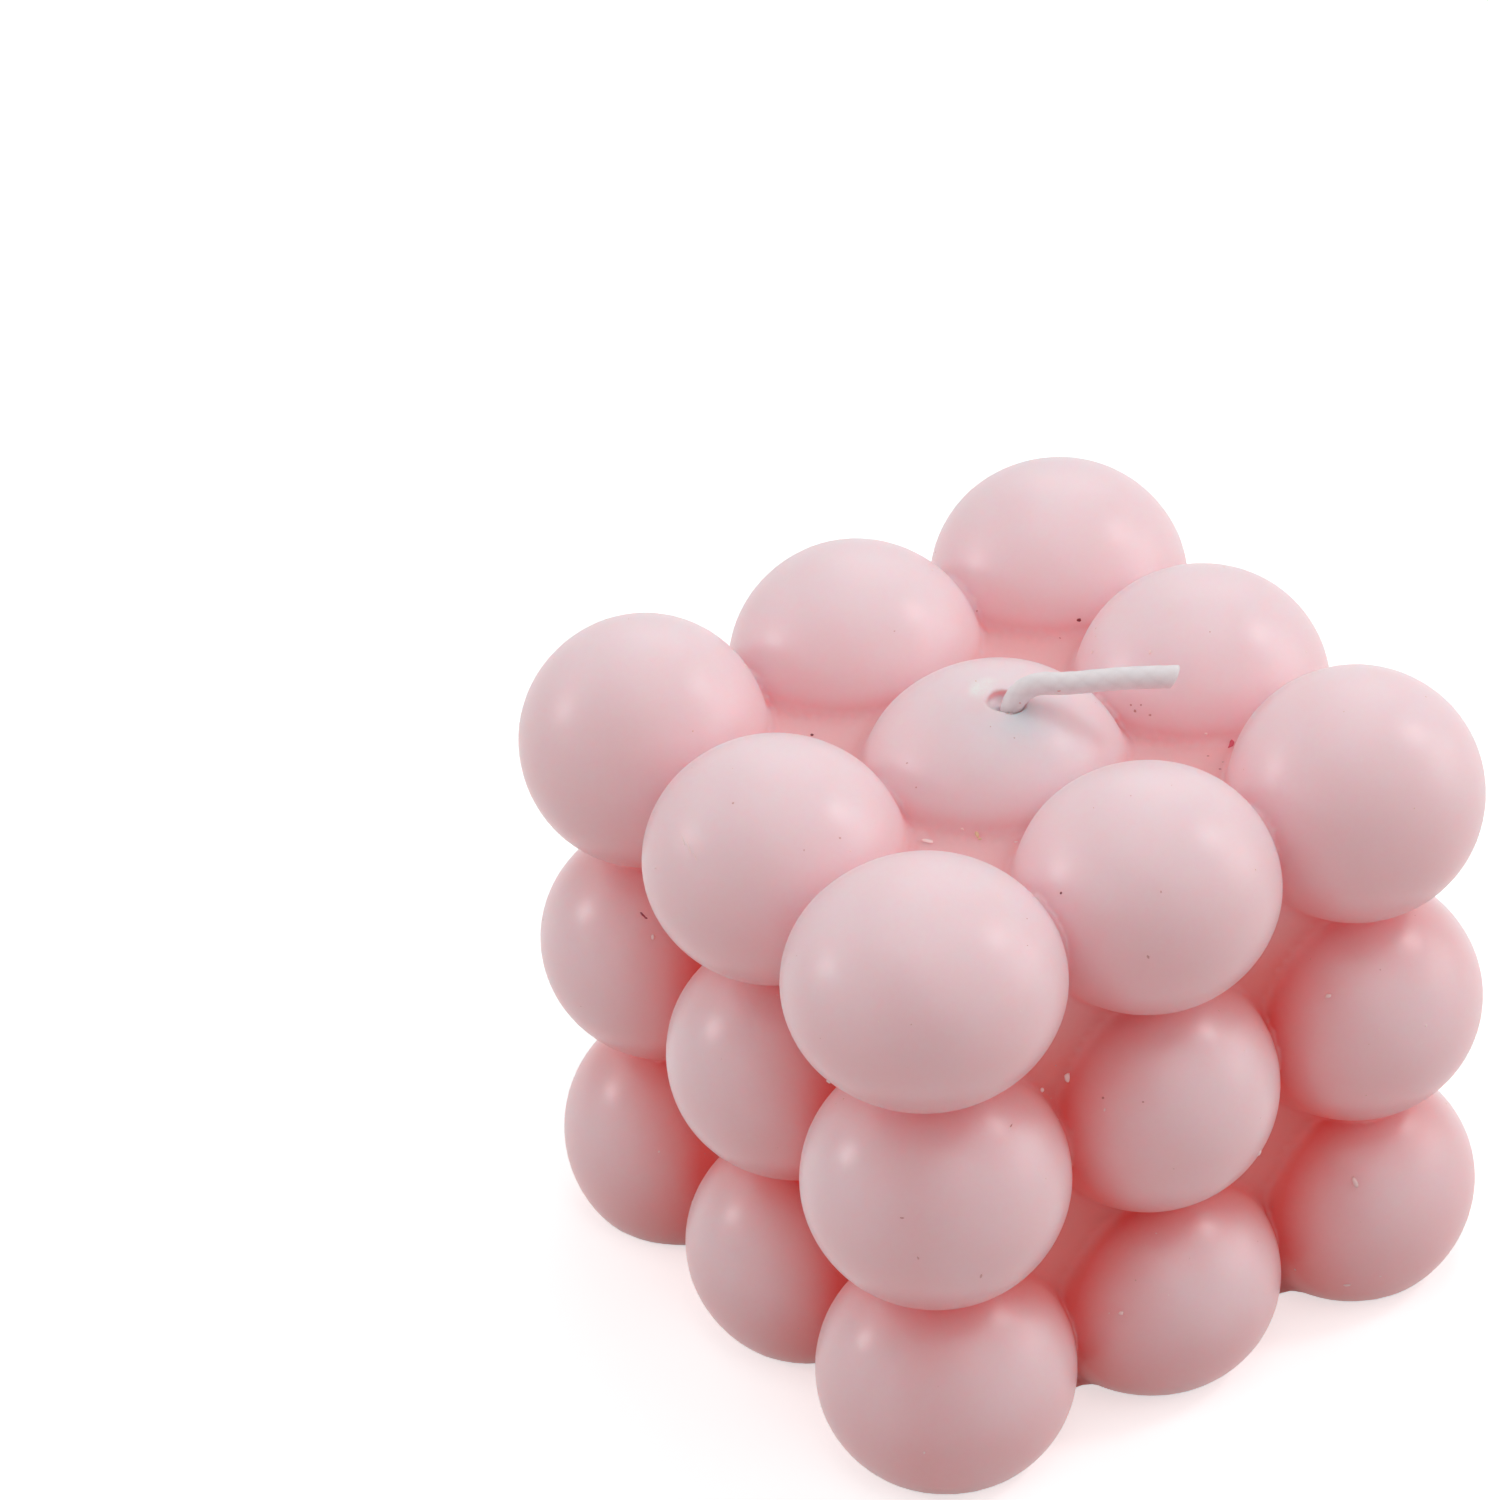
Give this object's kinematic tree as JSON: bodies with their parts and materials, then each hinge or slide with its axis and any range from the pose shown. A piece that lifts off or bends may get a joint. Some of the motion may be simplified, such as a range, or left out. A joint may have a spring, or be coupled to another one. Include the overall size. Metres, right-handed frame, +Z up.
{
  "type": "bubble cube candle",
  "caption": "Cube-shaped pale pink wax candle moulded as a grid of round bubbles, with a braided wick bent over at its top middle and a flat base to stand on.",
  "frame": {"origin": "middle of the flat base that the candle stands on", "axes": "+Z up; -Y is the side that faces right in the picture, and -X the side that faces left"},
  "size_m": [0.06, 0.06, 0.0553],
  "materials": {
    "wax": "pale pink candle wax, satin, translucent",
    "wick_cotton": "braided cotton, stiff with wax",
    "tab_metal": "thin pressed tinned steel"
  },
  "bodies": {
    "root": {"wax_body": "wax", "wick": "wick_cotton", "wick_tab": "tab_metal"}
  },
  "joints": []
}
